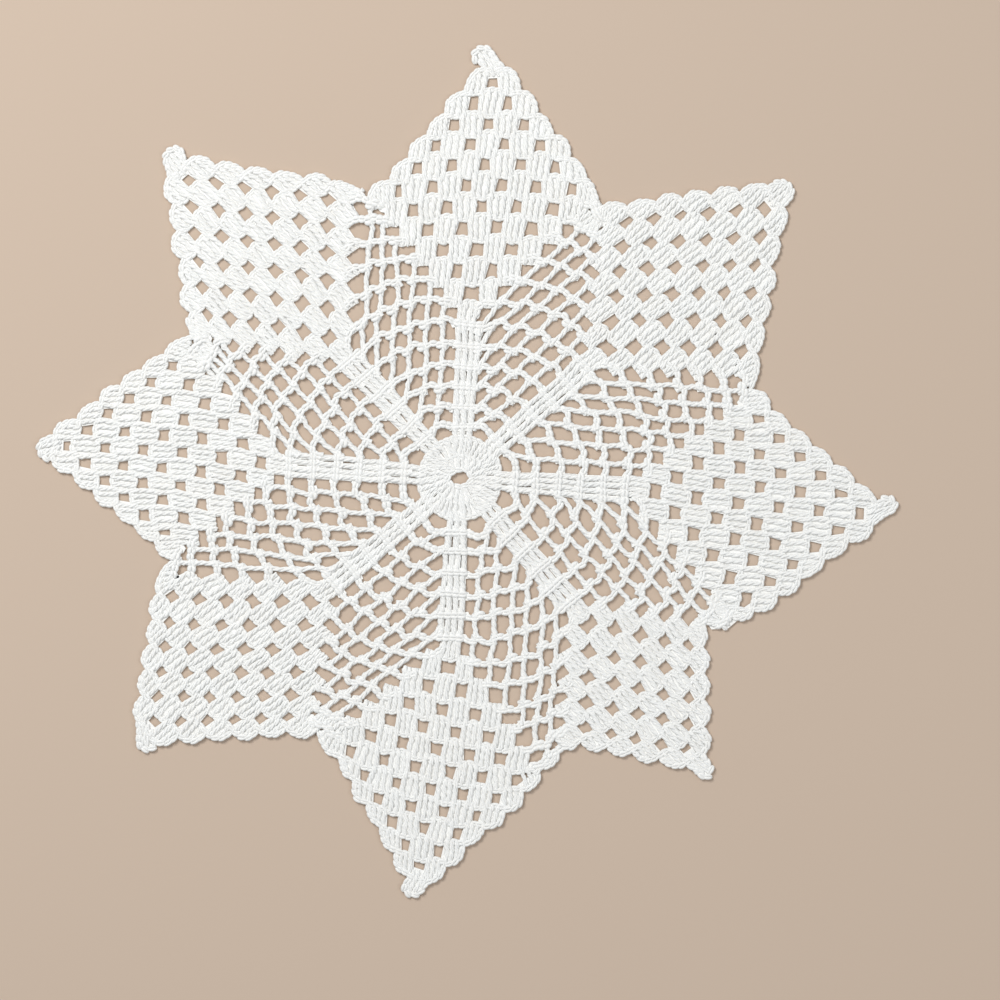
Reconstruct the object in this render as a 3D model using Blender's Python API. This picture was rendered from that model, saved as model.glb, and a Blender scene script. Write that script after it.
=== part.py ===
# Crocheted cotton doily: one flat piece, worked outwards from a ring as an eight-pointed star.
# Eight solid ribs leave the middle, and each opens into a diamond of stitch blocks with small gaps.
# Open net fills the sectors between the ribs, and the outer side of every diamond is scalloped.
# Sizes and tables are in millimetres and degrees about the ring; the model is in metres.
import random
from math import asin, atan2, cos, degrees, hypot, pi, radians, sin
from types import SimpleNamespace

import bmesh
import bpy

NODE_NAME = "doily"
MM = 0.001
THICKNESS = 1.6                # two crossing threads and their loops
WELD = 0.00001                 # metres
SEED = 7
COTTON_COLOUR = (0.83, 0.84, 0.82, 1.0)
COTTON_ROUGHNESS = 0.85

# the ring's opening
RING_GAP_WIDTH = 6.0
RING_GAP_DEPTH = 4.0
RING_GAP_TURN = 12.0
RING_GAP_CORNERS = 10

# net rows beside the ribs; the first gap of each diamond is in the row after them
RIB_ROWS = 7
FIRST_NET_RADIUS = 15.4
FIRST_ROW_HEIGHT = 6.6
ROW_GROWTH = 0.1               # how much taller each row is than the one inside it
RIB_HALF_INNER = 3.7           # three stitches
RIB_HALF_OUTER = 4.4           # four stitches
NET_ARCHES = (1.4, 0.7, 0.8, 2.0, 2.8, 3.4, 3.6, 3.1, 2.0, 1.8, 1.1, 0.0)   # how far each net row bows out
NET_DRIFT = 0.7                # how far the middle of a net row stands to its left

# diamonds and their edge, in steps from one gap to the next unless a size is given
FLANK_REACH = 0.86             # from a row's last gap to the outer side of the block beside it
ROW_BOW = 1.6                  # mm: a diamond's middle rows stand this much further out
FOOT_STEP = 1.7                # mm: its first row is this much taller than the others
SCALLOP_DEPTH = 1.7            # mm
SCALLOP_LENGTH = 11.0          # mm: a longer stretch of edge has more than one bump
SCALLOP_UNEVEN = 0.3
SCALLOP_FULLNESS = 0.7         # 1 is a sine wave, less is rounder
SCALLOP_STEPS = (0.0, 0.13, 0.36, 0.64, 0.87)
TIP_TURNS = (-80, -48, -16, 16, 48, 80)
TIP_SIDE_BULGE = 0.12

# gaps that are cut: the net's at a wider pitch than the real one, the diamonds' at their own
NET_GAP_STEP = 1.75            # real rows to one cut row
NET_GAP_COUNTS = (1, 2, 3, 4, 3, 2)
NET_GAP_SHAPE = ((0.0, -1.0), (0.8, -0.62), (1.0, 0.25), (0.62, 0.85),
                 (-0.62, 0.85), (-1.0, 0.25), (-0.8, -0.62))
NET_POST = 2.3
NET_ARC = 2.6
DIAMOND_GAP_SHAPE = ((-1, -1), (1, -1), (1, 1), (-1, 1))
DIAMOND_GAP_WIDTH = 3.7
DIAMOND_GAP_HEIGHT = 4.3
GAP_UNEVEN = 0.35
FULL_DIAMOND = 6               # gaps along one side

# One row for each point of the star, anticlockwise from the one nearest +Y.
# heading: direction of the rib.  gaps: gaps along one side of the diamond.
# foot, left, right, top: radius of the diamond's corner gaps, each with its turn from heading.
# tip: radius of the middle of the last block's rounded end, with its turn and its half width.
# right_edge, left_edge: steps from the last line of gaps to the notches of that side.
ARM_COLUMNS = ("heading", "gaps", "foot", "left", "left_turn", "right", "right_turn",
               "top", "top_turn", "tip", "tip_turn", "tip_half", "right_edge", "left_edge")
ARM_ROWS = (
    (86.5, 6, 63.8, 100.5, 15.8, 106.3, -18.1, 138.8, -1.1, 148.0, 0.3, 2.9, 0.71, 0.69),
    (133.0, 6, 66.2, 103.3, 14.6, 105.9, -18.2, 140.8, -0.7, 150.5, -1.2, 3.0, 0.72, 0.79),
    (175.5, 6, 68.8, 102.9, 15.2, 105.9, -17.1, 138.2, -0.2, 144.5, 0.4, 3.9, 0.66, 0.70),
    (219.5, 6, 66.9, 101.0, 15.1, 106.8, -17.4, 136.6, -1.0, 143.0, 0.4, 3.2, 0.66, 0.74),
    (266.5, 6, 65.3, 105.2, 14.1, 101.0, -18.6, 136.9, -2.5, 144.5, -3.0, 3.2, 0.59, 0.71),
    (311.5, 5, 67.3, 97.0, 12.7, 95.5, -15.4, 123.4, -1.7, 133.5, -1.7, 2.6, 0.65, 0.71),
    (356.0, 6, 67.5, 104.2, 15.4, 106.6, -19.2, 140.4, -1.0, 150.5, 0.3, 2.4, 0.66, 0.72),
    (401.5, 6, 67.7, 104.5, 15.9, 106.0, -17.5, 142.2, 0.0, 151.5, 0.0, 3.4, 0.69, 0.75),
)
# One row for each valley, between a point of the star and the next one anticlockwise.
VALLEY_COLUMNS = ("radius", "heading")
VALLEY_ROWS = (
    (104.0, 108.5),
    (106.5, 152.0),
    (104.5, 196.0),
    (102.0, 240.5),
    (100.5, 290.5),
    (99.5, 329.5),
    (107.0, 377.0),
    (106.0, 423.0),
)


def table(columns, rows):
    return [SimpleNamespace(**dict(zip(columns, row))) for row in rows]


def polar(radius, heading):
    return (radius * cos(radians(heading)), radius * sin(radians(heading)))


def mix(a, b, share):
    return a + (b - a) * share


def clamped(share):
    return min(1.0, max(0.0, share))


def shifted(place, direction, along, aside):
    """A place moved along a unit direction, and aside to the left of it."""
    return (place[0] + direction[0] * along - direction[1] * aside,
            place[1] + direction[1] * along + direction[0] * aside)


def diamond_point(arm, u, v):
    """A place in a diamond: u steps of one gap towards its right corner, v towards its left."""
    steps = arm.gaps - 1
    foot = polar(arm.foot + FOOT_STEP, arm.heading)
    right = polar(arm.right, arm.heading + arm.right_turn)
    left = polar(arm.left, arm.heading + arm.left_turn)
    top = polar(arm.top, arm.heading + arm.top_turn)
    across, up = u / steps, v / steps
    x, y = (mix(mix(foot[axis], right[axis], across), mix(left[axis], top[axis], across), up)
            for axis in (0, 1))
    bow = ROW_BOW * sin(pi * clamped((across + up) / 2)) ** 2
    drop = FOOT_STEP * (1 - clamped(u + v))
    return shifted((x, y), polar(1.0, arm.heading), bow - drop, 0.0)


def rib_radius(arm, row):
    """Radius of a net row where it meets a rib."""
    def rise(steps):
        return FIRST_ROW_HEIGHT * steps + ROW_GROWTH * steps * steps
    share = rise(row - 1) / rise(RIB_ROWS)
    return mix(FIRST_NET_RADIUS, arm.foot, share)


def net_edge(arm, row, side):
    """Radius and heading of a net row's end on an arm, on its left (side 1) or right (side -1)."""
    if row <= RIB_ROWS:
        radius = rib_radius(arm, row)
        half = mix(RIB_HALF_INNER, RIB_HALF_OUTER, (row - 1) / (RIB_ROWS - 1))
        return radius, arm.heading + side * degrees(asin(half / radius))
    outward = row - RIB_ROWS - 1 + FLANK_REACH
    u, v = (-FLANK_REACH, outward) if side > 0 else (outward, -FLANK_REACH)
    x, y = diamond_point(arm, u, v)
    ahead = polar(1.0, arm.heading)
    turn = atan2(ahead[0] * y - ahead[1] * x, ahead[0] * x + ahead[1] * y)
    return hypot(x, y), arm.heading + degrees(turn)


def net_arch(row):
    """How far a net row bows out, also for a row that isn't a whole number."""
    at = min(len(NET_ARCHES) - 1.001, max(0.0, row - 1))
    low = int(at)
    return mix(NET_ARCHES[low], NET_ARCHES[low + 1], at - low)


def net_point(arm, after, row, share):
    """A place in a net row, from its near end at share 0 to its far end at share 1."""
    near_radius, near_heading = net_edge(arm, row, 1)
    far_radius, far_heading = net_edge(after, row, -1)
    middle = sin(pi * share)
    radius = mix(near_radius, far_radius, share) + net_arch(row) * middle
    return polar(radius, mix(near_heading, far_heading, share) + degrees(NET_DRIFT * middle / radius))


def distance(a, b):
    return hypot(b[0] - a[0], b[1] - a[1])


def bulge(start, end, share):
    """The middle of a line, moved to the line's right by a share of its length."""
    return ((start[0] + end[0]) / 2 + (end[1] - start[1]) * share,
            (start[1] + end[1]) / 2 - (end[0] - start[0]) * share)


def scallops(start, end, uneven):
    """Rounded bumps on the right of the line from start to end; the end itself is left out."""
    length = distance(start, end)
    along = ((end[0] - start[0]) / length, (end[1] - start[1]) / length)
    count = max(1, round(length / SCALLOP_LENGTH))
    points = []
    for bump in range(count):
        depth = SCALLOP_DEPTH * uneven.uniform(1 - SCALLOP_UNEVEN, 1 + SCALLOP_UNEVEN)
        for step in SCALLOP_STEPS:
            rise = depth * sin(pi * step) ** SCALLOP_FULLNESS
            points.append(shifted(start, along, length * (bump + step) / count, -rise))
    return points


def tip_points(arm, right_notch, left_notch):
    """The rounded end of the last block, from its right side over the end to its left."""
    middle = polar(arm.tip, arm.heading + arm.tip_turn)
    top = polar(arm.top, arm.heading + arm.top_turn)
    length = distance(top, middle)
    out = ((middle[0] - top[0]) / length, (middle[1] - top[1]) / length)
    end = []
    for turn in TIP_TURNS:
        along, aside = polar(arm.tip_half, turn)
        end.append(shifted(middle, out, along, aside))
    right_side = bulge(right_notch, end[0], TIP_SIDE_BULGE)
    left_side = bulge(end[-1], left_notch, TIP_SIDE_BULGE)
    return [right_side] + end + [left_side]


def outline(arms, valleys):
    """The whole edge, anticlockwise from the right-hand valley of the first point."""
    uneven = random.Random(SEED)
    points = []
    for index, arm in enumerate(arms):
        before, after = valleys[index - 1], valleys[index]
        last = arm.gaps - 1
        right = [polar(before.radius, before.heading)]
        right += [diamond_point(arm, last + arm.right_edge, v) for v in range(arm.gaps)]
        left = [diamond_point(arm, u, last + arm.left_edge) for u in reversed(range(arm.gaps))]
        left.append(polar(after.radius, after.heading))
        for start, end in zip(right, right[1:]):
            points += scallops(start, end, uneven)
        points.append(right[-1])
        points += tip_points(arm, right[-1], left[0])
        for start, end in zip(left, left[1:]):
            points += scallops(start, end, uneven)
    return points


def ring_gap():
    direction = polar(1.0, RING_GAP_TURN)
    points = []
    for corner in range(RING_GAP_CORNERS):
        turn = 2 * pi * corner / RING_GAP_CORNERS
        along, aside = RING_GAP_WIDTH / 2 * cos(turn), RING_GAP_DEPTH / 2 * sin(turn)
        points.append(shifted((0.0, 0.0), direction, along, aside))
    return points


def diamond_gaps(arms):
    """Each diamond's gaps, the largest: those of its two outer sides stay closed.

    So do two gaps beside the valleys of a full diamond.
    """
    uneven = random.Random(SEED + 1)
    gaps = []
    for arm in arms:
        inner = arm.gaps - 1
        ahead = polar(1.0, arm.heading)
        for u in range(inner):
            for v in range(inner):
                if arm.gaps == FULL_DIAMOND and abs(u - v) == inner - 1:
                    continue
                points = []
                for side, out in DIAMOND_GAP_SHAPE:
                    aside = -side * DIAMOND_GAP_WIDTH / 2 + uneven.uniform(-GAP_UNEVEN, GAP_UNEVEN)
                    along = out * DIAMOND_GAP_HEIGHT / 2 + uneven.uniform(-GAP_UNEVEN, GAP_UNEVEN)
                    points.append(shifted(diamond_point(arm, u, v), ahead, along, aside))
                gaps.append(points)
    return gaps


def net_gaps(arms):
    """The net, cut wider than its real pitch: each gap has a low point and an arched top."""
    uneven = random.Random(SEED + 2)
    first_again = SimpleNamespace(**{**vars(arms[0]), "heading": arms[0].heading + 360})
    gaps = []
    for arm, after in zip(arms, arms[1:] + [first_again]):
        for level, count in enumerate(NET_GAP_COUNTS, start=1):
            row = NET_GAP_STEP * level
            width = distance(net_point(arm, after, row, 0.0), net_point(arm, after, row, 1.0))
            height = distance(net_point(arm, after, row - NET_GAP_STEP / 2, 0.5),
                              net_point(arm, after, row + NET_GAP_STEP / 2, 0.5))
            half_share = 0.5 / count - NET_POST / 2 / width
            half_rows = NET_GAP_STEP / 2 * (1 - NET_ARC / height)
            for cell in range(count):
                points = []
                for side, out in NET_GAP_SHAPE:
                    share = (cell + 0.5) / count - side * half_share
                    x, y = net_point(arm, after, row + out * half_rows, share)
                    points.append((x + uneven.uniform(-GAP_UNEVEN, GAP_UNEVEN),
                                   y + uneven.uniform(-GAP_UNEVEN, GAP_UNEVEN)))
                gaps.append(points)
    return gaps


def centred(loops):
    """Every loop, moved so that the middle of the first loop's box is the origin."""
    xs = [x for x, y in loops[0]]
    ys = [y for x, y in loops[0]]
    middle_x, middle_y = (min(xs) + max(xs)) / 2, (min(ys) + max(ys)) / 2
    return [[(x - middle_x, y - middle_y) for x, y in loop] for loop in loops]


def flat_curve(name, loops):
    """A filled flat curve, pierced by every loop after the first, as thick as the cotton."""
    curve = bpy.data.curves.new(name, "CURVE")
    curve.dimensions = "2D"
    curve.fill_mode = "BOTH"
    curve.extrude = THICKNESS * MM / 2
    for loop in loops:
        spline = curve.splines.new("POLY")
        spline.points.add(len(loop) - 1)
        for point, (x, y) in zip(spline.points, loop):
            point.co = (x * MM, y * MM, 0.0, 1.0)
        spline.use_cyclic_u = True
    return bpy.data.objects.new(name, curve)


def welded_mesh(curve_object):
    """The curve's evaluated mesh in world space, with its caps joined to its sides."""
    bpy.context.view_layer.update()
    evaluated = curve_object.evaluated_get(bpy.context.evaluated_depsgraph_get())
    mesh = bpy.data.meshes.new_from_object(evaluated)
    mesh.transform(curve_object.matrix_world)
    body = bmesh.new()
    body.from_mesh(mesh)
    bmesh.ops.remove_doubles(body, verts=body.verts, dist=WELD)
    bmesh.ops.recalc_face_normals(body, faces=body.faces)
    body.to_mesh(mesh)
    body.free()
    return mesh


def cotton():
    material = bpy.data.materials.new("white crochet cotton")
    material.use_nodes = True
    shader = material.node_tree.nodes["Principled BSDF"]
    shader.inputs["Base Color"].default_value = COTTON_COLOUR
    shader.inputs["Roughness"].default_value = COTTON_ROUGHNESS
    shader.inputs["Metallic"].default_value = 0.0
    return material


def clear_scene():
    for item in list(bpy.data.objects):
        bpy.data.objects.remove(item, do_unlink=True)


def build():
    clear_scene()
    collection = bpy.data.collections.new("lace doily")
    bpy.context.scene.collection.children.link(collection)

    arms = table(ARM_COLUMNS, ARM_ROWS)
    valleys = table(VALLEY_COLUMNS, VALLEY_ROWS)
    loops = [outline(arms, valleys), ring_gap()] + diamond_gaps(arms) + net_gaps(arms)

    pattern = flat_curve("doily pattern", centred(loops))
    pattern.location.z = THICKNESS * MM / 2
    collection.objects.link(pattern)
    mesh = welded_mesh(pattern)
    bpy.data.objects.remove(pattern, do_unlink=True)

    mesh.name = NODE_NAME
    mesh.materials.clear()
    mesh.materials.append(cotton())
    collection.objects.link(bpy.data.objects.new(NODE_NAME, mesh))


build()
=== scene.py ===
import random
from math import asin, atan2, cos, degrees, exp, hypot, pi, radians, sin
from types import SimpleNamespace

import bmesh
import bpy
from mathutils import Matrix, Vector, noise


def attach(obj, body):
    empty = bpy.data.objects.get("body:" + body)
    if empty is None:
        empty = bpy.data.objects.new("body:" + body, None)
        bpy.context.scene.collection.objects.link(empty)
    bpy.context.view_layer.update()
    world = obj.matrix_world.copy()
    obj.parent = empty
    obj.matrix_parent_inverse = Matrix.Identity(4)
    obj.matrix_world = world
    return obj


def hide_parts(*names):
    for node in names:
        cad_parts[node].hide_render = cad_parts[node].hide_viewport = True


# White crochet cotton, worked in rounds from a ring: eight ribs, eight diamonds of
# four-stitch blocks, and open net between them. All sizes are millimetres and degrees
# about the ring until a piece is made, and then metres.
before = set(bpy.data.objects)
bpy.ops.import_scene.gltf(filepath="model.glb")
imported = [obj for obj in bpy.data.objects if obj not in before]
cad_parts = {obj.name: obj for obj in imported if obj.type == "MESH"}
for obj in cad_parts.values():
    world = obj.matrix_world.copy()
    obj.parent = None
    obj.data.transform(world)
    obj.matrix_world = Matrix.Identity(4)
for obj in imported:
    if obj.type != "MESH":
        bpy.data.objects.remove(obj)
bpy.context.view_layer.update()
mm = 0.001

# the star's layout, which a user would change only together with the CAD
layout = dict(
    ribRows=7, firstRowHeight=6.6, rowGrowth=0.1,
    ribHalfInner=3.5, ribHalfOuter=4.9, ribWidening=0.6,
    rowBow=1.6, footStep=1.7,      # how far a diamond's rows arch, and how far its foot drops
    scallopDepth=2.0, scallopLength=11.0, scallopUneven=0.3, scallopFullness=0.6, scallopSteps=8,
    tipTurns=(-80, -48, -16, 16, 48, 80), tipSideBulge=-0.06, seed=7,
)
# the rows of the net from the ring outwards: how far each is lifted all along, arched in the
# middle and dipped at the end by the next arm, and how far from the arm its lines of posts run
netRows = dict(
    lifts=(0.4, -0.2, 0.9, 0.9, 0.5, 0.1, 1.1, 1.6, 1.7, 1.1, 0.5, -1.1),
    arches=(-0.4, -0.3, -1.0, -0.8, -0.4, -0.1, 0.9, 0.5, 0.1, 0.5, 0.5, 0.1),
    dips=(0.1, 0.3, 0.5, 1.7, 2.5, 3.1, 4.5, 0.6, 0.0, 0.0, 0.0, 0.0), dipAside=0.4,
    postLines=(8.7, 14.9, 20.8, 26.5, 31.9, 36.9),
    firstReach=0.6, leftReach=0.76, rightReach=0.66,   # how near a row comes to the diamond
)
armColumns = ("heading", "gaps", "inner", "foot", "left", "leftTurn", "right", "rightTurn",
              "top", "topTurn", "tip", "tipTurn", "tipHalf", "rightEdge", "leftEdge")
armRows = (
    (86.5, 6, 14.6, 63.8, 100.5, 15.8, 106.3, -18.1, 138.8, -1.1, 147.4, 0.3, 3.7, 0.71, 0.69),
    (133.0, 6, 15.3, 66.2, 103.3, 14.6, 105.9, -18.2, 140.8, -0.7, 149.4, -1.3, 4.2, 0.72, 0.79),
    (175.5, 6, 16.1, 68.8, 102.9, 15.2, 105.9, -17.1, 138.2, -0.2, 143.4, 0.4, 4.5, 0.66, 0.70),
    (219.5, 6, 15.5, 66.9, 101.0, 15.1, 106.8, -17.4, 136.6, -1.0, 142.6, 0.4, 3.7, 0.66, 0.74),
    (266.5, 6, 15.6, 65.3, 105.2, 14.1, 101.0, -18.6, 136.9, -2.5, 143.6, -3.0, 3.6, 0.59, 0.71),
    (311.5, 5, 15.7, 67.3, 97.0, 12.7, 95.5, -15.4, 123.4, -1.7, 133.2, -1.7, 2.9, 0.65, 0.71),
    (356.0, 6, 16.0, 67.5, 104.2, 15.4, 106.6, -19.2, 140.4, -1.0, 149.4, 0.3, 3.3, 0.66, 0.72),
    (401.5, 6, 14.5, 67.7, 104.5, 15.9, 106.0, -17.5, 142.2, 0.0, 150.3, 0.1, 4.3, 0.69, 0.75),
)
valleys = ((104.0, 108.5), (106.5, 152.0), (104.5, 196.0), (102.0, 240.5),
           (100.5, 290.5), (99.5, 329.5), (107.0, 377.0), (106.0, 423.0))
arms = [SimpleNamespace(**dict(zip(armColumns, row))) for row in armRows]


def polar(radius, heading):
    return (radius * cos(radians(heading)), radius * sin(radians(heading)))


def mix(a, b, share):
    return a + (b - a) * share


def mixPoint(a, b, share):
    return (mix(a[0], b[0], share), mix(a[1], b[1], share))


def shifted(place, direction, along, aside):
    return (place[0] + direction[0] * along - direction[1] * aside,
            place[1] + direction[1] * along + direction[0] * aside)


def distance(a, b):
    return hypot(b[0] - a[0], b[1] - a[1])


def unit(a, b):
    length = distance(a, b) or 1.0
    return ((b[0] - a[0]) / length, (b[1] - a[1]) / length)


def clamped(share):
    return min(1.0, max(0.0, share))


def diamondPoint(arm, u, v):
    # u steps of one gap towards the diamond's right corner, v towards its left
    steps = arm.gaps - 1
    foot = polar(arm.foot + layout["footStep"], arm.heading)
    right = polar(arm.right, arm.heading + arm.rightTurn)
    left = polar(arm.left, arm.heading + arm.leftTurn)
    top = polar(arm.top, arm.heading + arm.topTurn)
    across, up = u / steps, v / steps
    place = mixPoint(mixPoint(foot, right, across), mixPoint(left, top, across), up)
    bow = layout["rowBow"] * sin(pi * clamped((across + up) / 2)) ** 2
    drop = layout["footStep"] * (1 - clamped(u + v))
    return shifted(place, polar(1.0, arm.heading), bow - drop, 0.0)


def tipEnd(arm):
    # the way that an arm's tip points, and the places round its end
    middle = polar(arm.tip, arm.heading + arm.tipTurn)
    out = unit(polar(arm.top, arm.heading + arm.topTurn), middle)
    return out, [shifted(middle, out, *polar(arm.tipHalf, turn)) for turn in layout["tipTurns"]]


def ribRadius(arm, row):
    # the last row of the rib ends where the diamond's first block begins
    def rise(steps):
        return layout["firstRowHeight"] * steps + layout["rowGrowth"] * steps * steps
    end = hypot(*diamondPoint(arm, -0.75, -0.75))
    return mix(arm.inner, end, rise(row - 1) / rise(layout["ribRows"] - 1.5))


def ribHalf(row):
    share = clamped((row - 1) / (layout["ribRows"] - 1)) ** layout["ribWidening"]
    return mix(layout["ribHalfInner"], layout["ribHalfOuter"], share)


def netEnd(arm, row, side):
    # radius and heading of the end of a net row's top, on the arm's left (1) or right (-1)
    if row < layout["ribRows"]:
        radius = ribRadius(arm, row + 0.5)
        return radius, arm.heading + side * degrees(asin(ribHalf(row + 0.5) / radius))
    reach = netRows["leftReach"] if side > 0 else netRows["rightReach"]
    if row == layout["ribRows"]:
        reach = netRows["firstReach"]
    outward = row - layout["ribRows"] - 0.5 + reach
    u, v = (-reach, outward) if side > 0 else (outward, -reach)
    x, y = diamondPoint(arm, u, v)
    ahead = polar(1.0, arm.heading)
    turn = atan2(ahead[0] * y - ahead[1] * x, ahead[0] * x + ahead[1] * y)
    return hypot(x, y), arm.heading + degrees(turn)


def netPoint(arm, after, row, share):
    nearRadius, nearHeading = netEnd(arm, row, 1)
    farRadius, farHeading = netEnd(after, row, -1)
    radius = mix(nearRadius, farRadius, share) + netRows["lifts"][row - 1]
    radius += netRows["arches"][row - 1] * sin(pi * share)
    return polar(radius, mix(nearHeading, farHeading, share))


def netTop(arm, after, row, beside):
    # where a net row's top meets a line of posts, which runs beside the arm on its left:
    # twenty halvings of the row's length find it
    ahead = polar(1.0, arm.heading)
    low, high = 0.0, 1.0
    for halving in range(20):
        middle = (low + high) / 2
        x, y = netPoint(arm, after, row, middle)
        if ahead[0] * y - ahead[1] * x < beside:
            low = middle
        else:
            high = middle
    return netPoint(arm, after, row, middle)


def postLines(row):
    # the lines that reach this row: each rib row starts one, and each diamond row ends one
    lines, rib = netRows["postLines"], layout["ribRows"]
    return lines[:row - 1] if row <= rib else lines[row - rib:]


def scallopLine(start, end, depths):
    # the rounded bumps on the right of a line, as a list of places from start to end
    towards, length = unit(start, end), distance(start, end)
    points = []
    for bump, depth in enumerate(depths):
        for step in range(layout["scallopSteps"] + 1):
            share = step / layout["scallopSteps"]
            rise = depth * sin(pi * share) ** layout["scallopFullness"]
            points.append(shifted(start, towards, length * (bump + share) / len(depths), -rise))
    return points


def edgeLines():
    # for every arm: the scallops of its right side, upwards, and of its left side, downwards
    uneven = random.Random(layout["seed"])
    spread = layout["scallopUneven"]
    found = []
    for index, arm in enumerate(arms):
        last = arm.gaps - 1
        right = [polar(*valleys[index - 1])]
        right += [diamondPoint(arm, last + arm.rightEdge, v) for v in range(arm.gaps)]
        left = [diamondPoint(arm, u, last + arm.leftEdge) for u in reversed(range(arm.gaps))]
        left.append(polar(*valleys[index]))
        sides = []
        for notches in (right, left):
            lines = []
            for start, end in zip(notches, notches[1:]):
                count = max(1, round(distance(start, end) / layout["scallopLength"]))
                depths = [layout["scallopDepth"] * uneven.uniform(1 - spread, 1 + spread)
                          for bump in range(count)]
                lines.append(scallopLine(start, end, depths))
            sides.append(lines)
        found.append((sides[0], sides[1], right[-1], left[0]))
    return found


edges = edgeLines()
print("star laid out:", len(arms), "arms,", len(netRows["lifts"]), "rows of net between them")


def inOrder(places):
    # the places in turn about their middle, so that a line through them never crosses itself
    middle = (sum(x for x, y in places) / len(places), sum(y for x, y in places) / len(places))
    return sorted(places, key=lambda place: atan2(place[1] - middle[1], place[0] - middle[0]))


def along(path, share):
    # the place at a share of a path's length
    lengths = [distance(a, b) for a, b in zip(path, path[1:])]
    left = share * sum(lengths)
    for start, end, length in zip(path, path[1:], lengths):
        if left <= length:
            return mixPoint(start, end, left / (length or 1.0))
        left -= length
    return path[-1]


def inset(path, amount):
    # the path moved to its own left
    moved = []
    for index, place in enumerate(path):
        before, after = path[max(0, index - 1)], path[min(len(path) - 1, index + 1)]
        moved.append(shifted(place, unit(before, after), 0.0, amount))
    return moved


# the yarn's paths, group by group: every stitch's post and every row of chain loops, and the
# patches of ground between the dense stitches, of which the raised ones reach higher
groups = ["point_%d" % (index + 1) for index in range(len(arms))] + ["ring"]
posts = {group: [] for group in groups}
chains = {group: [] for group in groups}
ground, raised = [], []

# the unevenness of handwork: a slow drift and a quick one, each with its length and its layer
handwork = dict(seed=11, sway=0.3, slow=(14, 3.1), slowMore=1.6, quick=(5, 8.7))
shake = random.Random(handwork["seed"])
noise.seed_set(handwork["seed"])     # otherwise the noise is seeded by the clock


def give(amount):
    return shake.uniform(-amount, amount)


def drift(place, wave, layer):
    x, y = place
    return noise.noise_vector(Vector((x / wave, y / wave, layer))) * handwork["sway"]


def wander(place):
    # the drift is the same for everything at one place
    move = drift(place, *handwork["slow"]) * handwork["slowMore"]
    move += drift(place, *handwork["quick"])
    return (place[0] + move.x, place[1] + move.y)


# a post rises over the chain that it is worked into, and sinks under its own loop
postSizes = dict(
    height=0.84, wobble=0.32, bowShake=0.12,
    shares=(0.0, 0.14, 0.36, 0.64, 0.87, 1.0), rises=(-0.2, 0.1, 0.0, 0.0, 0.0, -0.14),
)


def addPost(group, base, top, width=1.0, bow=0.0, ends=0.8, waist=1.0, flare=0.0):
    up = unit(base, top)
    bow += give(postSizes["bowShake"])
    path = []
    for share, rise, size in zip(postSizes["shares"], postSizes["rises"],
                                 (ends, 1.0, waist, waist, 1.0, ends)):
        aside = bow * sin(pi * share) + give(postSizes["wobble"])
        x, y = wander(shifted(mixPoint(base, top, share), up, 0.0, aside))
        fuller = 1 + flare * (2 * share - 1)
        path.append((x, y, postSizes["height"] + rise, size * width * fuller))
    posts[group].append((path, shake.uniform(0, 2 * pi)))


# a row of chain loops, and the thread that its loops are made of
chainSizes = dict(width=2.1, pitch=2.3, height=0.92, sunkHeight=0.62, knotWidth=1.35,
                  uneven=0.1, seed=5, threadWidth=1.1, threadPoints=6, threadSides=5)


def addChain(group, places, height=chainSizes["height"], width=1.0, tucked=0.0, knots=()):
    # tucked is how far its two ends go down among the stitches that they are joined to, and
    # the knots are the places where posts join it and it is fuller
    path = []
    for place in places:
        low = tucked if place in (places[0], places[-1]) else 0.0
        fuller = chainSizes["knotWidth"] if place in knots else 1.0
        path.append((*wander(place), height - low, width * fuller))
    chains[group].append((path, 0.0))


# the blocks of a diamond and the gaps between them, row by row from its foot to its top
blockSizes = dict(
    gapWidths=(3.9, 4.3, 2.7, 3.25, 2.7, 2.6, 2.2, 2.35, 2.05, 1.95, 1.6, 2.4),
    rightGaps=(0.84, 0.72, 0.86, 0.96, 0.9, 1.0), leftGaps=(0.58, 0.88, 0.76, 1.0, 0.9),
    gapUneven=0.3, gapWave=4, gapLayer=5.5,
    stitches=4, width=1.1, ends=0.85, waist=(0.84, 1.04), spread=0.07, lean=0.35, topShake=0.15,
    wrapOver=0.9, baseSqueeze=0.82, baseArch=-0.3, topArch=1.3, topSteps=4,
    headStart=0.05, headSpan=0.90, headLift=0.1,
    edgeInset=1.2, edgeBow=0.9, edgeBowFrom=0.4,      # the blocks on the scalloped edge
    edgeHeadStart=0.10, edgeHeadSpan=0.62, edgeHeadLift=-0.35,
    valleyStitches=6, valleyHeadSpan=0.84,
    groundOver=0.7, groundInset=0.08,
)


def gapWidth(arm, i, j):
    # the gaps close up where the diamond ends, most of all in its widest row
    last = arm.gaps - 1
    width = blockSizes["gapWidths"][i + j + 1]
    if i == last and j >= 0:
        width *= blockSizes["rightGaps"][j]
    elif j == last and i >= 0:
        width *= blockSizes["leftGaps"][i]
    x, y = diamondPoint(arm, i, j)
    wave = blockSizes["gapWave"]
    uneven = noise.noise(Vector((x / wave, y / wave, blockSizes["gapLayer"])))
    return width * (1 + blockSizes["gapUneven"] * uneven)


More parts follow.
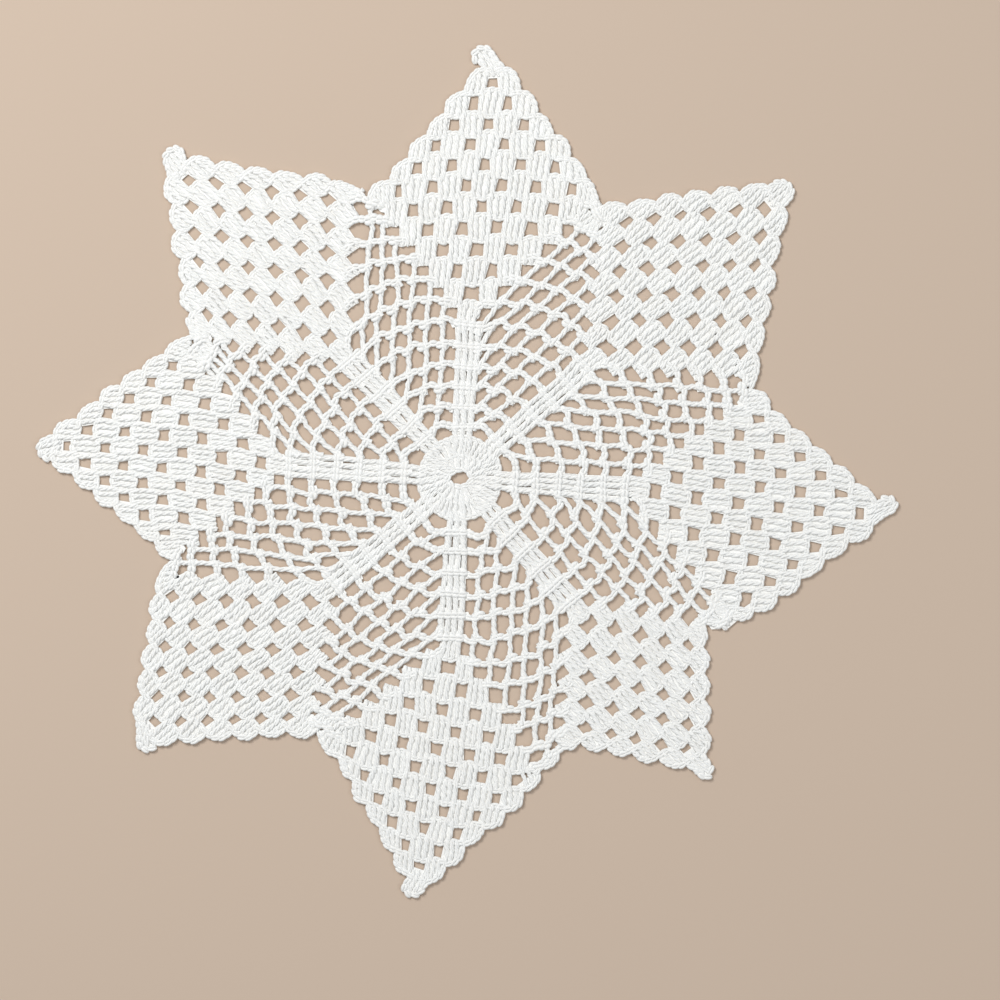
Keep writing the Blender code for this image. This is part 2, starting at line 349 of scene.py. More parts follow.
def layBlock(group, arm, a, b, edgeLine=None):
    # posts side by side, fanned a little, and their top line, from left to right; an edge line
    # is the side that the block is on and the scallop that it makes
    size = blockSizes
    inValley = bool(edgeLine) and min(a, b) < 0
    count = size["valleyStitches"] if inValley else size["stitches"]
    span = size["valleyHeadSpan"] if inValley else size["edgeHeadSpan"]
    base, top = diamondPoint(arm, a - 0.25, b - 0.25), diamondPoint(arm, a + 0.25, b + 0.25)
    right, left = diamondPoint(arm, a + 0.5, b - 0.5), diamondPoint(arm, a - 0.5, b + 0.5)
    across, up = unit(left, right), unit(base, top)
    spread = 1 + give(size["spread"])
    halves = [(distance(left, right) - gapWidth(arm, int(a + turn), int(b - turn))) / 2 * spread
              for turn in (-0.5, 0.5)]
    if edgeLine:
        halves = [halves[0 if edgeLine[0] > 0 else 1]] * 2

    def aside(share):
        return share * halves[1 if share > 0 else 0]
    lean = give(size["lean"])
    base = shifted(base, up, -size["wrapOver"], lean)
    top = shifted(top, up, give(size["topShake"]), -lean)
    line = []
    for step in range(-size["topSteps"], size["topSteps"] + 1):
        share = step / size["topSteps"]
        lift = size["topArch"] * (1 - share * share)
        line.append(shifted(shifted(top, across, aside(share), 0.0), up, lift, 0.0))
    if edgeLine:
        side, scallop = edgeLine
        rim = list(reversed(inset(scallop, size["edgeInset"])))
        line = [line[0]] + rim if side > 0 else rim + [line[-1]]
    low = []
    for k in range(count):
        share = (k + 0.5) / count
        foot = shifted(base, across, size["baseSqueeze"] * aside(2 * share - 1), 0.0)
        foot = shifted(foot, up, -size["baseArch"] * (1 - (2 * share - 1) ** 2), 0.0)
        low.append(foot)
        bow, lift = 0.0, size["edgeHeadLift"]
        if not edgeLine:
            head, lift = along(line, size["headStart"] + size["headSpan"] * share), size["headLift"]
        elif side > 0:
            head = along(line, size["edgeHeadStart"] + span * share)
            bow = -size["edgeBow"] * max(0.0, share - size["edgeBowFrom"])
        else:
            head = along(line, 1 - size["edgeHeadStart"] - span * (1 - share))
            bow = size["edgeBow"] * max(0.0, 1 - size["edgeBowFrom"] - share)
        head = shifted(head, unit(foot, head), lift, 0.0)
        addPost(group, foot, head, size["width"], bow, size["ends"],
                shake.uniform(*size["waist"]))
    over = size["groundOver"]
    patch = [shifted(low[0], across, -over, 0.0)] + low + [shifted(low[-1], across, over, 0.0)]
    patch += [mixPoint(place, base, size["groundInset"]) for place in reversed(line)]
    ground.append(inOrder(patch) if edgeLine else patch)
    return line


def layDiamond(group, index, arm):
    rightLines, leftLines, rightNotch, leftNotch = edges[index]
    n = arm.gaps
    for total in range(-1, 2 * n - 1):
        rowLine = []
        # blocks of one row, from the left: a rises as b falls
        for step in range(2 * n + 1):
            a = -0.5 + step
            b = total - a
            if not (-0.5 <= b <= n - 0.5 and a <= n - 0.5):
                continue
            edgeLine = None
            if a == n - 0.5:
                edgeLine = (1, rightLines[int(b + 0.5)])
            elif b == n - 0.5:
                edgeLine = (-1, leftLines[n - 1 - int(a + 0.5)])
            line = layBlock(group, arm, a, b, edgeLine)
            if edgeLine:
                addChain(group, line)
            rowLine += line
        addChain(group, rowLine, chainSizes["sunkHeight"])
    layTip(group, arm, rightNotch, leftNotch)


# the rounded end of an arm, beyond its last block
tipSizes = dict(inset=0.7, footDepth=3.5, headStart=0.70, headSpan=0.40, headLift=-0.3,
                groundDepth=4.3, groundInset=0.9)


def layTip(group, arm, rightNotch, leftNotch):
    size = tipSizes
    out, ends = tipEnd(arm)
    rim = [rightNotch]
    for a, b in ((rightNotch, ends[0]), (ends[-1], leftNotch)):
        push = layout["tipSideBulge"] * distance(a, b)
        rim.append(shifted(mixPoint(a, b, 0.5), unit(a, b), 0.0, -push))
        if a is rightNotch:
            rim += ends
    rim = inset(rim + [leftNotch], size["inset"])
    addChain(group, rim)
    corners = [shifted(notch, out, -size["groundDepth"], side * size["groundInset"])
               for notch, side in ((leftNotch, 1), (rightNotch, -1))]
    ground.append(inOrder(corners + rim))
    count = blockSizes["stitches"]
    for k in range(count):
        share = (k + 0.5) / count
        foot = shifted(mixPoint(leftNotch, rightNotch, share), out, -size["footDepth"], 0.0)
        head = along(rim, size["headStart"] - size["headSpan"] * share)
        addPost(group, foot, shifted(head, unit(foot, head), size["headLift"], 0.0),
                blockSizes["width"])


# the ribs: each post's width is the space that it has over this looseness, and the grooves
# between the posts close up on the way to each row's top, which stands out as a band
ribSizes = dict(
    stitches=(3, 3, 4, 4, 4, 4), looseness=1.92, spread=0.97, spreadShake=0.15,
    footSink=0.5, headRise=0.2, ends=0.85, waist=(0.84, 0.96),
    groundHalf=(0.74, 0.94), groundInset=0.3,
    closedFrom=(-3.0, -1.5), closedTo=(0.7, 2.2), closedHalf=0.8,
    topRise=0.05, topWidth=1.3, topShares=(1, 0.5, 0, -0.5, -1),
)


def layRib(group, arm):
    size = ribSizes

    def ribAside(half, share):
        return share * half * size["spread"] + give(size["spreadShake"])
    for row, count in enumerate(size["stitches"], start=1):
        baseHalf, topHalf = ribHalf(row - 0.5), ribHalf(row + 0.5)
        base = polar(ribRadius(arm, row - 0.5), arm.heading)
        top = polar(ribRadius(arm, row + 0.5), arm.heading)
        up = unit(base, top)
        width = (baseHalf + topHalf) / count / size["looseness"]
        for k in range(count):
            aside = 1 - 2 * (k + 0.5) / count
            foot = shifted(base, up, -size["footSink"], ribAside(baseHalf, aside))
            head = shifted(top, up, size["headRise"], ribAside(topHalf, aside))
            addPost(group, foot, head, width, 0.0, size["ends"], shake.uniform(*size["waist"]))
            halves = [width * shake.uniform(*size["groundHalf"]) for corner in range(4)]
            near = size["groundInset"]
            ground.append([
                shifted(foot, up, near, -halves[0]), shifted(head, up, -near, -halves[1]),
                shifted(head, up, -near, halves[2]), shifted(foot, up, near, halves[3])])
            if k:
                middle, half = (aside + 1 / count) * topHalf, size["closedHalf"]
                low = shake.uniform(*size["closedFrom"])
                high = shake.uniform(*size["closedTo"])
                raised.append([shifted(top, up, low, middle - half),
                               shifted(top, up, high, middle - half),
                               shifted(top, up, high, middle + half),
                               shifted(top, up, low, middle + half)])
        addChain(group, [shifted(top, up, 0.0, topHalf * side) for side in size["topShares"]],
                 chainSizes["height"] + size["topRise"], size["topWidth"])


# the ring: two rounds of posts and the three rows of loops beside them, from the middle out
ringSizes = dict(
    stitches=(22, 44), radii=(2.9, 8.3, 14.0), hole=(1.16, 0.8), turn=12.0, roundWithin=6,
    width=0.95, waist=(0.85, 1.0), flares=(0.22, 0.12), headingShake=0.14, slant=3,
    footSinks=(-0.3, 0.2), headRise=(-0.1, 0.5), groundHalf=185, groundInset=0.3,
    loopInsets=(0.5, 0.0, 0.0), loopStep=10,
)


def ringPoint(radius, heading):
    # the opening is wider than it is tall, and the rounds outside it are nearly circles
    share = clamped((radius - ringSizes["radii"][0]) / ringSizes["roundWithin"])
    wide, tall = (mix(scale, 1.0, share) for scale in ringSizes["hole"])
    x, y = polar(radius, heading - ringSizes["turn"])
    return shifted((0.0, 0.0), polar(1.0, ringSizes["turn"]), x * wide, y * tall)


def layRing():
    size = ringSizes
    radii = size["radii"]
    for level, count in enumerate(size["stitches"]):
        foot, inner, outer = radii[level] - size["footSinks"][level], radii[level], radii[level + 1]
        wide = size["groundHalf"] / count
        for k in range(count):
            heading = 360 * (k + give(size["headingShake"])) / count
            slant = give(size["slant"])
            addPost("ring", ringPoint(foot, heading),
                    ringPoint(outer + shake.uniform(*size["headRise"]), heading + slant),
                    size["width"], 0.0, 1.0, shake.uniform(*size["waist"]), size["flares"][level])
            (ground if level else raised).append([
                ringPoint(inner + size["groundInset"], heading - wide),
                ringPoint(inner + size["groundInset"], heading + wide),
                ringPoint(outer, heading + wide), ringPoint(outer, heading - wide)])
    for radius, more in zip(radii, size["loopInsets"]):
        addChain("ring", [ringPoint(radius + more, heading)
                          for heading in range(0, 361, size["loopStep"])],
                 chainSizes["height" if more else "sunkHeight"])


# the net: arcs of chain loops between posts, and in some sectors the cells of the last two
# rows, in the valley, are filled with so many posts each
netSizes = dict(
    arcWidth=1.15, arcMore=1.2, bulge=0.22, bulgeUneven=(0.5, 1.5), arcShares=(0.0, 0.2, 0.5, 0.8),
    tucked=0.55, uneven=0.55, postWidth=1.25, postLean=0.6, postEnds=1.5, postWaist=0.86,
    footSink=0.6, cornerRadius=(1.4, 1.9), cornerTurn=60,
    valleyPosts=((0, 0), (1, 3), (0, 0), (0, 3), (0, 0), (0, 3), (0, 0), (0, 3)),
    valleyStart=0.65, valleySpare=0.3,
)


def layNet(group, arm, after):
    size, rows = netSizes, []
    for row in range(1, 2 * layout["ribRows"] - 1):
        # the top of every post of this row, its two ends included
        tops = [netPoint(arm, after, row, 0.0)]
        for beside in postLines(row):
            place = netTop(arm, after, row, beside + give(size["uneven"]))
            tops.append(shifted(place, unit((0.0, 0.0), place), give(size["uneven"]), 0.0))
        end = netPoint(arm, after, row, 1.0)
        dip = netRows["dips"][row - 1]
        rows.append(tops + [shifted(end, polar(1.0, after.heading), -dip,
                                    netRows["dipAside"] * dip)])
    for row, tops in enumerate(rows, start=1):
        line = []
        for start, end in zip(tops, tops[1:]):
            bulge = size["bulge"] * distance(start, end) * shake.uniform(*size["bulgeUneven"])
            line += [shifted(mixPoint(start, end, share), unit(start, end), 0.0,
                             -bulge * sin(pi * share)) for share in size["arcShares"]]
        # the first two rows and the last two are fuller
        wide = size["arcWidth"] * (1.0 if 3 <= row <= len(rows) - 2 else size["arcMore"])
        addChain(group, line + [tops[-1]], chainSizes["height"], wide, size["tucked"], tops[1:-1])
        # the stitches fill the corners of the cells where they meet
        for place in tops:
            ground.append([
                shifted(place, polar(shake.uniform(*size["cornerRadius"]), turn), 1.0, 0.0)
                for turn in range(0, 360, size["cornerTurn"])])
        if row == 1:
            continue
        for k, beside in enumerate(postLines(row), start=1):
            foot = netTop(arm, after, row - 1, beside + give(size["uneven"]))
            if k == row - 1:
                foot = rows[row - 2][-1]
            foot = shifted(foot, unit(foot, tops[k]), -size["footSink"], 0.0)
            addPost(group, foot, tops[k], size["postWidth"], give(size["postLean"]),
                    size["postEnds"], size["postWaist"])
    for row, count in zip((-2, -1), size["valleyPosts"][groups.index(group)]):
        for k in range(len(rows[row]) - 1 if count else 0):
            feet, heads = rows[row - 1][k + 1:k + 3], rows[row][k:k + 2]
            for post in range(count):
                share = (post + size["valleyStart"]) / (count + size["valleySpare"])
                addPost(group, mixPoint(*feet, share), mixPoint(*heads, share),
                        blockSizes["width"], 0.0, blockSizes["ends"],
                        shake.uniform(*blockSizes["waist"]))
            if count > 1:
                ground.append(inOrder(feet + heads))


for index, arm in enumerate(arms):
    group = groups[index]
    layDiamond(group, index, arm)
    layRib(group, arm)
    after = arms[index + 1] if index + 1 < len(arms) else SimpleNamespace(
        **{**vars(arms[0]), "heading": arms[0].heading + 360})
    layNet(group, arm, after)
layRing()
print("stitches laid:", sum(map(len, posts.values())), "posts,",
      sum(map(len, chains.values())), "rows of loops,", len(ground), "patches of ground")

# the middle of the outline's box is the origin, as in the CAD
outline = []
for arm, (rightLines, leftLines, rightNotch, leftNotch) in zip(arms, edges):
    outline += [place for line in rightLines + leftLines for place in line] + tipEnd(arm)[1]
middleX = (min(x for x, y in outline) + max(x for x, y in outline)) / 2
middleY = (min(y for x, y in outline) + max(y for x, y in outline)) / 2


def linearColour(code, alpha=1.0):
    # an sRGB hex value, as the renderer's linear red, green and blue
    values = [int(code[i:i + 2], 16) / 255 for i in (1, 3, 5)]
    return tuple(v / 12.92 if v <= 0.04045 else ((v + 0.055) / 1.055) ** 2.4
                 for v in values) + (alpha,)


def addNode(tree, kind, settings=None, **feeds):
    # settings are the node's own; feeds go to inputs by name, or by number as i0, i1
    node = tree.nodes.new(kind)
    for name, value in (settings or {}).items():
        setattr(node, name, value)
    for name, value in feeds.items():
        numbered = name[0] == "i" and name[1:].isdigit()
        socket = node.inputs[int(name[1:]) if numbered else name.replace("_", " ")]
        if isinstance(value, bpy.types.NodeSocket):
            tree.links.new(value, socket)
        else:
            socket.default_value = value
    return node


# the fibres' fuzz is far finer than this, and is drawn as coarse as it needs to show
cottonLook = dict(
    # shade is painted shade: the colour laid into the valleys between the plies and the fuzz's
    # hollows
    lit="#F8F8F5", shade="#E4E8E9", warm="#F5F2EC",
    roughness=0.72, ior=1.53, sheen=0.35, sheenRoughness=0.4,
    plies=3, plyPitch=1.3, fuzzSize=0.8, fuzzDetail=3.0, fuzzShare=0.6,
    mottleSize=9.0, mottleDetail=2.0, bumpDepth=0.05, bumpStrength=0.5,
    # painted shade fades in as the relief falls from creaseTo to creaseFrom, reaching creaseShade
    # of the way to the shade colour
    creaseFrom=0.1, creaseTo=0.9, creaseShade=0.75,
)


def cottonMaterial(name):
    # bleached mercerised cotton, three plies twisted: soft white, a faint silky sheen
    look = cottonLook
    material = bpy.data.materials.new(name)
    material.use_nodes = True
    tree = material.node_tree
    shader = tree.nodes["Principled BSDF"]
    shader.inputs["Roughness"].default_value = look["roughness"]
    shader.inputs["IOR"].default_value = look["ior"]
    shader.inputs["Sheen Weight"].default_value = look["sheen"]
    shader.inputs["Sheen Roughness"].default_value = look["sheenRoughness"]
    place = addNode(tree, "ShaderNodeTexCoord").outputs["Object"]
    around = addNode(tree, "ShaderNodeAttribute", {"attribute_name": "round"}).outputs["Vector"]
    run = addNode(tree, "ShaderNodeAttribute", {"attribute_name": "along"}).outputs["Fac"]
    parts = addNode(tree, "ShaderNodeSeparateXYZ", Vector=around).outputs
    turn = addNode(tree, "ShaderNodeMath", {"operation": "ARCTAN2"}, i0=parts["Y"], i1=parts["X"])
    turns = addNode(tree, "ShaderNodeMath", {"operation": "MULTIPLY"}, i0=turn.outputs[0],
                    i1=float(look["plies"]))
    travel = addNode(tree, "ShaderNodeMath", {"operation": "MULTIPLY"}, i0=run,
                     i1=2 * pi / (look["plyPitch"] * mm))
    both = addNode(tree, "ShaderNodeMath", {"operation": "ADD"}, i0=turns.outputs[0],
                   i1=travel.outputs[0])
    wave = addNode(tree, "ShaderNodeMath", {"operation": "SINE"}, i0=both.outputs[0])
    ply = addNode(tree, "ShaderNodeMapRange", None, Value=wave.outputs[0], From_Min=-1.0)
    fuzz = addNode(tree, "ShaderNodeTexNoise", None, Vector=place,
                   Scale=1 / (look["fuzzSize"] * mm), Detail=look["fuzzDetail"])
    mottle = addNode(tree, "ShaderNodeTexNoise", None, Vector=place,
                     Scale=1 / (look["mottleSize"] * mm), Detail=look["mottleDetail"])
    relief = addNode(tree, "ShaderNodeMath", {"operation": "MULTIPLY_ADD"},
                     i0=fuzz.outputs[0], i1=look["fuzzShare"], i2=ply.outputs[0])
    base = addNode(tree, "ShaderNodeMix", {"data_type": "RGBA"}, i0=mottle.outputs[0],
                   i6=linearColour(look["lit"]), i7=linearColour(look["warm"]))
    # painted shade: where the relief of plies and fuzz is low, in the creases, the colour goes
    # towards the shade colour
    lines = addNode(tree, "ShaderNodeMapRange", None, Value=relief.outputs[0],
                    From_Min=look["creaseFrom"], From_Max=look["creaseTo"],
                    To_Min=look["creaseShade"], To_Max=0.0)
    colour = addNode(tree, "ShaderNodeMix", {"data_type": "RGBA"}, i0=lines.outputs[0],
                     i6=base.outputs[2], i7=linearColour(look["shade"]))
    bump = addNode(tree, "ShaderNodeBump", None, Strength=look["bumpStrength"],
                   Distance=look["bumpDepth"] * mm, Height=relief.outputs[0])
    tree.links.new(colour.outputs[2], shader.inputs["Base Color"])
    tree.links.new(bump.outputs["Normal"], shader.inputs["Normal"])
    return material


cotton = cottonMaterial("mercerised cotton thread")
print("material made:", cotton.name)


# geometry nodes: twisted strands along a path, and chain loops set along a row
def newTree(name, sizes):
    tree = bpy.data.node_groups.new(name, "GeometryNodeTree")
    face = tree.interface
    face.new_socket("Geometry", in_out="INPUT", socket_type="NodeSocketGeometry")
    for label, kind in sizes:
        face.new_socket(label, in_out="INPUT", socket_type="NodeSocket" + kind)
    face.new_socket("Geometry", in_out="OUTPUT", socket_type="NodeSocketGeometry")
    return tree, tree.nodes.new("NodeGroupInput").outputs


def strandTree():
    tree, given = newTree("twisted strands", (
        ("Strands", "Int"), ("Thread Width", "Float"), ("Twist Width", "Float"),
        ("Twist Height", "Float"), ("Turns", "Float"), ("Points", "Int"), ("Sides", "Int"),
        ("Cotton", "Material")))
    smooth = addNode(tree, "GeometryNodeCurveSplineType", {"spline_type": "CATMULL_ROM"},
                     Curve=given["Geometry"])
    steps = addNode(tree, "GeometryNodeResampleCurve", {"mode": "COUNT"},
                    Curve=smooth.outputs[0], Count=given["Points"])
    copies = addNode(tree, "GeometryNodeDuplicateElements", {"domain": "SPLINE"},
                     Geometry=steps.outputs[0], Amount=given["Strands"])
    place = addNode(tree, "GeometryNodeSplineParameter")
    lengths = addNode(tree, "GeometryNodeStoreNamedAttribute",
                      {"data_type": "FLOAT", "domain": "POINT"},
                      Geometry=copies.outputs[0], Name="along", Value=place.outputs["Length"])
    turned = addNode(tree, "ShaderNodeMath", {"operation": "MULTIPLY"},
                     i0=place.outputs["Factor"], i1=given["Turns"])
    share = addNode(tree, "ShaderNodeMath", {"operation": "DIVIDE"},
                    i0=copies.outputs[1], i1=given["Strands"])
    total = addNode(tree, "ShaderNodeMath", {"operation": "ADD"},
                    i0=turned.outputs[0], i1=share.outputs[0])
    start = addNode(tree, "GeometryNodeInputCurveTilt")
    angle = addNode(tree, "ShaderNodeMath", {"operation": "MULTIPLY_ADD"},
                    i0=total.outputs[0], i1=2 * pi, i2=start.outputs[0])
    size = addNode(tree, "GeometryNodeInputRadius")
    tangent = addNode(tree, "GeometryNodeInputTangent")
    side = addNode(tree, "ShaderNodeVectorMath", {"operation": "CROSS_PRODUCT"},
                   i0=tangent.outputs[0], i1=(0.0, 0.0, 1.0))
    level = addNode(tree, "ShaderNodeVectorMath", {"operation": "NORMALIZE"}, i0=side.outputs[0])
    reach = []
    for kind, width in (("COSINE", "Twist Width"), ("SINE", "Twist Height")):
        swing = addNode(tree, "ShaderNodeMath", {"operation": kind}, i0=angle.outputs[0])
        sized = addNode(tree, "ShaderNodeMath", {"operation": "MULTIPLY"},
                        i0=swing.outputs[0], i1=given[width])
        reach.append(addNode(tree, "ShaderNodeMath", {"operation": "MULTIPLY"},
                             i0=sized.outputs[0], i1=size.outputs[0]))
    aside = addNode(tree, "ShaderNodeVectorMath", {"operation": "SCALE"},
                    i0=level.outputs[0], Scale=reach[0].outputs[0])
    lift = addNode(tree, "ShaderNodeCombineXYZ", None, Z=reach[1].outputs[0])
    offset = addNode(tree, "ShaderNodeVectorMath", {"operation": "ADD"},
                     i0=aside.outputs[0], i1=lift.outputs[0])
    moved = addNode(tree, "GeometryNodeSetPosition", None,
                    Geometry=lengths.outputs[0], Offset=offset.outputs[0])
    upright = addNode(tree, "GeometryNodeSetCurveNormal", {"mode": "Z_UP"},
                      Curve=moved.outputs[0])
    half = addNode(tree, "ShaderNodeMath", {"operation": "MULTIPLY"},
                   i0=given["Thread Width"], i1=0.5)
    circle = addNode(tree, "GeometryNodeCurvePrimitiveCircle", {"mode": "RADIUS"},
                     Resolution=given["Sides"], Radius=half.outputs[0])
    spot = addNode(tree, "GeometryNodeInputPosition")
    outward = addNode(tree, "ShaderNodeVectorMath", {"operation": "NORMALIZE"},
                      i0=spot.outputs[0])
    profile = addNode(tree, "GeometryNodeStoreNamedAttribute",
                      {"data_type": "FLOAT_VECTOR", "domain": "POINT"},
                      Geometry=circle.outputs[0], Name="round", Value=outward.outputs[0])
    tube = addNode(tree, "GeometryNodeCurveToMesh", None, Curve=upright.outputs[0],
                   Profile_Curve=profile.outputs[0], Scale=size.outputs[0], Fill_Caps=True)
    soft = addNode(tree, "GeometryNodeSetShadeSmooth", None, Geometry=tube.outputs[0])
    real = addNode(tree, "GeometryNodeRealizeInstances", None, Geometry=soft.outputs[0])
    dyed = addNode(tree, "GeometryNodeSetMaterial", None, Geometry=real.outputs[0],
                   Material=given["Cotton"])
    addNode(tree, "NodeGroupOutput", None, i0=dyed.outputs[0])
    return tree


def chainTree():
    tree, given = newTree("chain loops", (
        ("Loop", "Object"), ("Pitch", "Float"), ("Uneven", "Float"), ("Seed", "Int"),
        ("Cotton", "Material")))
    smooth = addNode(tree, "GeometryNodeCurveSplineType", {"spline_type": "CATMULL_ROM"},
                     Curve=given["Geometry"])
    length = addNode(tree, "GeometryNodeSplineLength")
    share = addNode(tree, "ShaderNodeMath", {"operation": "DIVIDE"},
                    i0=length.outputs[0], i1=given["Pitch"])
    whole = addNode(tree, "ShaderNodeMath", {"operation": "ROUND"}, i0=share.outputs[0])
    least = addNode(tree, "ShaderNodeMath", {"operation": "MAXIMUM"}, i0=whole.outputs[0], i1=1.0)
    count = addNode(tree, "ShaderNodeMath", {"operation": "ADD"}, i0=least.outputs[0], i1=1.0)
    steps = addNode(tree, "GeometryNodeResampleCurve", {"mode": "COUNT"},
                    Curve=smooth.outputs[0], Count=count.outputs[0])
    last = addNode(tree, "GeometryNodeCurveEndpointSelection", None, Start_Size=0, End_Size=1)
    keep = addNode(tree, "FunctionNodeBooleanMath", {"operation": "NOT"}, i0=last.outputs[0])
    tangent = addNode(tree, "GeometryNodeInputTangent")
    ahead = addNode(tree, "FunctionNodeAlignRotationToVector", {"axis": "X"},
                    Vector=tangent.outputs[0])
    up = addNode(tree, "FunctionNodeAlignRotationToVector", {"axis": "Z", "pivot_axis": "X"},
                 Rotation=ahead.outputs[0], Vector=(0.0, 0.0, 1.0))
    loop = addNode(tree, "GeometryNodeObjectInfo", {"transform_space": "ORIGINAL"},
                   Object=given["Loop"])
    spread = addNode(tree, "ShaderNodeMath", {"operation": "SUBTRACT"}, i0=1.0, i1=given["Uneven"])
    most = addNode(tree, "ShaderNodeMath", {"operation": "ADD"}, i0=1.0, i1=given["Uneven"])
    size = addNode(tree, "FunctionNodeRandomValue", {"data_type": "FLOAT"},
                   i2=spread.outputs[0], i3=most.outputs[0], Seed=given["Seed"])
    radius = addNode(tree, "GeometryNodeInputRadius")
    wide = addNode(tree, "ShaderNodeMath", {"operation": "MULTIPLY"},
                   i0=size.outputs[1], i1=radius.outputs[0])
    stretch = addNode(tree, "ShaderNodeMath", {"operation": "DIVIDE"},
                      i0=share.outputs[0], i1=least.outputs[0])
    scale = addNode(tree, "ShaderNodeCombineXYZ", None, X=stretch.outputs[0],
                    Y=wide.outputs[0], Z=radius.outputs[0])
    # the stretch is read on the spline, before its points become instances
    placed = addNode(tree, "GeometryNodeInstanceOnPoints", None, Points=steps.outputs[0],
                     Selection=keep.outputs[0], Instance=loop.outputs["Geometry"],
                     Rotation=up.outputs[0], Scale=scale.outputs[0])
    real = addNode(tree, "GeometryNodeRealizeInstances", None, Geometry=placed.outputs[0])
    dyed = addNode(tree, "GeometryNodeSetMaterial", None, Geometry=real.outputs[0],
                   Material=given["Cotton"])
    addNode(tree, "NodeGroupOutput", None, i0=dyed.outputs[0])
    return tree


def linked(name, data):
    piece = bpy.data.objects.new(name, data)
    bpy.context.scene.collection.objects.link(piece)
    return piece


def pathObject(name, paths, centred=True):
    shiftX, shiftY = (middleX, middleY) if centred else (0.0, 0.0)
    curve = bpy.data.curves.new(name, "CURVE")
    curve.dimensions = "3D"
    for path, turn in paths:
        spline = curve.splines.new("POLY")
        spline.points.add(len(path) - 1)
        for point, (x, y, z, width) in zip(spline.points, path):
            point.co = ((x - shiftX) * mm, (y - shiftY) * mm, z * mm, 1.0)
            point.radius, point.tilt = width, turn
    return linked(name, curve)


def grown(name, source, tree, values):
    # runs a tree on an object and gives back the result as a plain mesh object
    modifier = source.modifiers.new(tree.name, "NODES")
    modifier.node_group = tree
    for item in tree.interface.items_tree:
        if item.in_out == "INPUT" and item.name in values:
            modifier[item.identifier] = values[item.name]
    bpy.context.view_layer.update()
    graph = bpy.context.evaluated_depsgraph_get()
    mesh = bpy.data.meshes.new_from_object(source.evaluated_get(graph))
    bpy.data.objects.remove(source, do_unlink=True)
    mesh.name = name
    return linked(name, mesh)


strands, loops = strandTree(), chainTree()

# one chain loop, of two legs that open like a V and close over the next loop's start: how far
# along the loop, how far to its side, how high and how full a leg is
loopLeg = ((-0.16, 0.07, -0.42, 0.85), (0.14, 0.17, 0.06, 1.0), (0.55, 0.25, 0.22, 1.08),
           (0.95, 0.20, 0.04, 1.0), (1.16, 0.07, -0.4, 0.8))
pitch, width = chainSizes["pitch"], chainSizes["width"]
legs = [([(ahead * pitch, side * aside * width, high, full)
          for ahead, aside, high, full in loopLeg], 0.0) for side in (1, -1)]
loopShape = grown("chainLoop", pathObject("chainLoopPath", legs, False), strands, {
    "Strands": 1, "Thread Width": chainSizes["threadWidth"] * mm, "Twist Width": 0.0,
    "Twist Height": 0.0, "Turns": 0.0, "Points": chainSizes["threadPoints"],
    "Sides": chainSizes["threadSides"], "Cotton": cotton})

# a post's twisted strands, how flat the cloth is pressed, and the sheet of ground within it
yarn = dict(strands=3, threadWidth=1.1, twistWidth=0.5, twistHeight=0.3, turns=1.15,
            points=7, sides=4)
pressed = dict(low=0.3, high=1.5, give=0.35)
groundSizes = dict(low=0.5, high=0.85, raisedHigh=1.15, step=0.02, steps=7)


def ironed(height):
    # the height of a point once the cloth is pressed flat on both faces
    low, high, soft = pressed["low"], pressed["high"], pressed["give"]
    if height < low:
        return low - soft * (1 - exp((height - low) / soft))
    if height > high:
        return high + soft * (1 - exp((high - height) / soft))
    return height


def clothPiece(name, body):
    # a finished piece of the cloth from a body, which is used up
    mesh = bpy.data.meshes.new(name)
    body.to_mesh(mesh)
    body.free()
    mesh.materials.append(cotton)
    return linked(name, mesh)


def joined(name, parts):
    # one plain mesh from several, which are used up
    body = bmesh.new()
    for part in parts:
        body.from_mesh(part.data)
        bpy.data.objects.remove(part, do_unlink=True)
    for corner in body.verts:
        corner.co.z = ironed(corner.co.z / mm) * mm
    return clothPiece(name, body)


def groundPiece(name, patches, fuller):
    # the inner strands of the dense stitches, packed into a thin sheet between their faces
    body = bmesh.new()
    packed = [(patch, groundSizes["high"]) for patch in patches]
    packed += [(patch, groundSizes["raisedHigh"]) for patch in fuller]
    for index, (patch, high) in enumerate(packed):
        loop = [wander(place) for place in patch]
        # patches that overlap seldom share a step, so their faces don't lie on each other
        step = groundSizes["step"] * (index % groundSizes["steps"])
        levels = [[body.verts.new(((x - middleX) * mm, (y - middleY) * mm, z * mm))
                   for x, y in loop] for z in (groundSizes["low"] - step, high - step)]
        body.faces.new(list(reversed(levels[0])))
        body.faces.new(levels[1])
        for here in range(len(loop)):
            there = (here + 1) % len(loop)
            body.faces.new((levels[0][here], levels[0][there], levels[1][there], levels[1][here]))
    bmesh.ops.recalc_face_normals(body, faces=body.faces)
    return clothPiece(name, body)


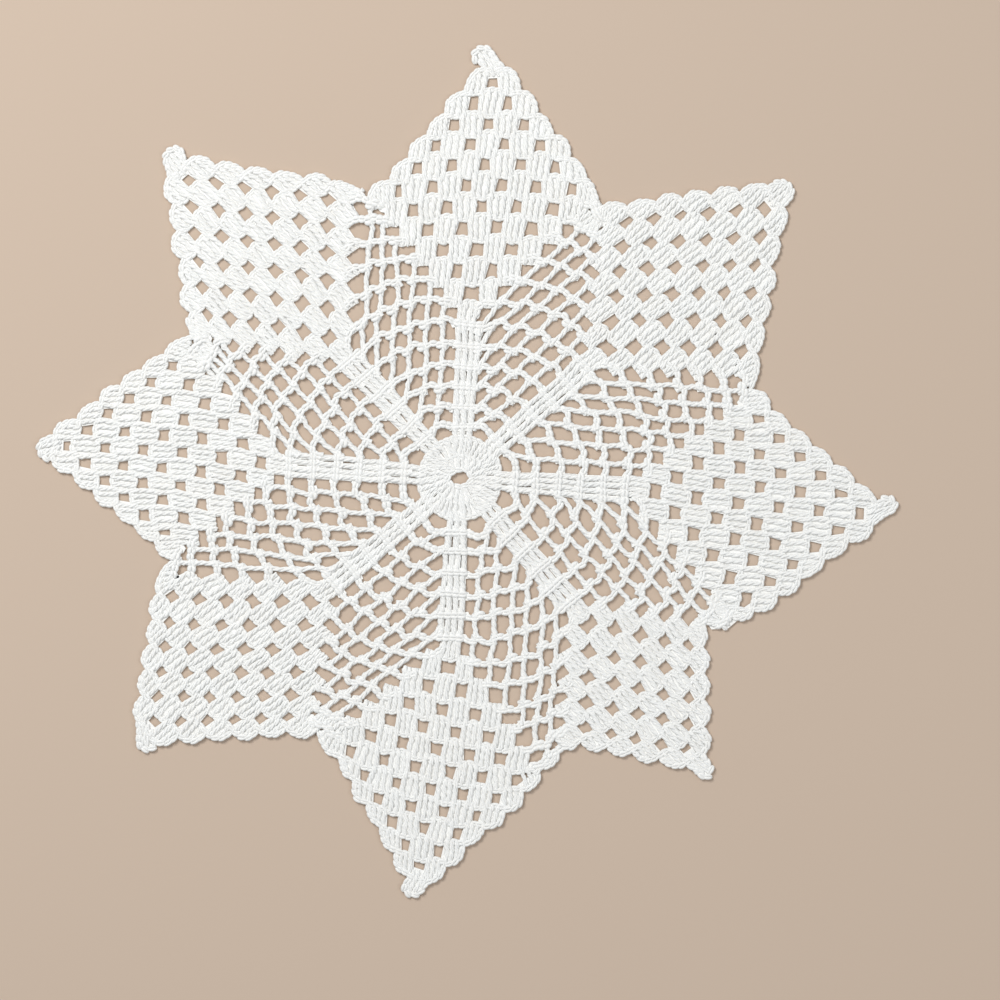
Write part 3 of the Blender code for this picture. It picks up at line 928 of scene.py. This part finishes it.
pieces = [groundPiece("doily_ground", ground, raised)]
for group in groups:
    stems = grown(group + "_posts", pathObject(group, posts[group]), strands, {
        "Strands": yarn["strands"], "Thread Width": yarn["threadWidth"] * mm,
        "Twist Width": yarn["twistWidth"] * mm, "Twist Height": yarn["twistHeight"] * mm,
        "Turns": yarn["turns"], "Points": yarn["points"], "Sides": yarn["sides"],
        "Cotton": cotton})
    tops = grown(group + "_loops", pathObject(group, chains[group]), loops, {
        "Loop": loopShape, "Pitch": pitch * mm, "Uneven": chainSizes["uneven"],
        "Seed": chainSizes["seed"], "Cotton": cotton})
    pieces.append(joined("doily_" + group, (stems, tops)))
bpy.data.objects.remove(loopShape, do_unlink=True)
for piece in pieces:
    print(piece.name, len(piece.data.polygons), "faces",
          sum(len(face.vertices) - 2 for face in piece.data.polygons), "triangles")

for piece in pieces:
    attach(piece, "root")
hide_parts("doily")

# the floor, light and camera, in metres and watts: each lamp has a place, a size and a power
studio = dict(
    floorHalf=2, paper="#C8B4A1", paperRoughness=0.9, sky=(0.93, 0.96, 1.0, 1.0), skyLight=0.42,
    key=((-0.55, 0.6, 1.0), 0.5, 11.2), fill=((0.8, -0.3, 1.1), 1.0, 3.9),
    sensor=36.0, viewWidth=0.35, viewHeight=1.3, viewPlace=(0.0140, -0.0077),
)
far = studio["floorHalf"]
floorMesh = bpy.data.meshes.new("floor")
floorMesh.from_pydata([(-far, -far, 0), (far, -far, 0), (far, far, 0), (-far, far, 0)], [],
                      [(0, 1, 2, 3)])
floor = linked("floor", floorMesh)
paper = bpy.data.materials.new("matt paper backdrop")      # even, with no shine of its own
paper.use_nodes = True
paperShader = paper.node_tree.nodes["Principled BSDF"]
paperShader.inputs["Base Color"].default_value = linearColour(studio["paper"])
paperShader.inputs["Roughness"].default_value = studio["paperRoughness"]
floorMesh.materials.append(paper)

world = bpy.data.worlds.new("studio")
bpy.context.scene.world = world
world.use_nodes = True
background = world.node_tree.nodes["Background"]
background.inputs["Color"].default_value = studio["sky"]
background.inputs["Strength"].default_value = studio["skyLight"]
for name in ("key", "fill"):
    place, size, power = studio[name]
    light = bpy.data.lights.new(name, "AREA")
    light.size, light.energy = size, power
    lamp = linked(name, light)
    lamp.location = place
    lamp.rotation_euler = (-Vector(place)).to_track_quat("-Z", "Y").to_euler()

camera = bpy.data.cameras.new("above")
camera.sensor_width = studio["sensor"]
camera.lens = studio["sensor"] * studio["viewHeight"] / studio["viewWidth"]
viewX, viewY = studio["viewPlace"]
view = linked("above", camera)
view.location = (viewX - middleX * mm, viewY - middleY * mm, studio["viewHeight"])
bpy.context.scene.camera = view
bpy.context.scene.view_settings.view_transform = "Standard"
print("floor, light and camera set")
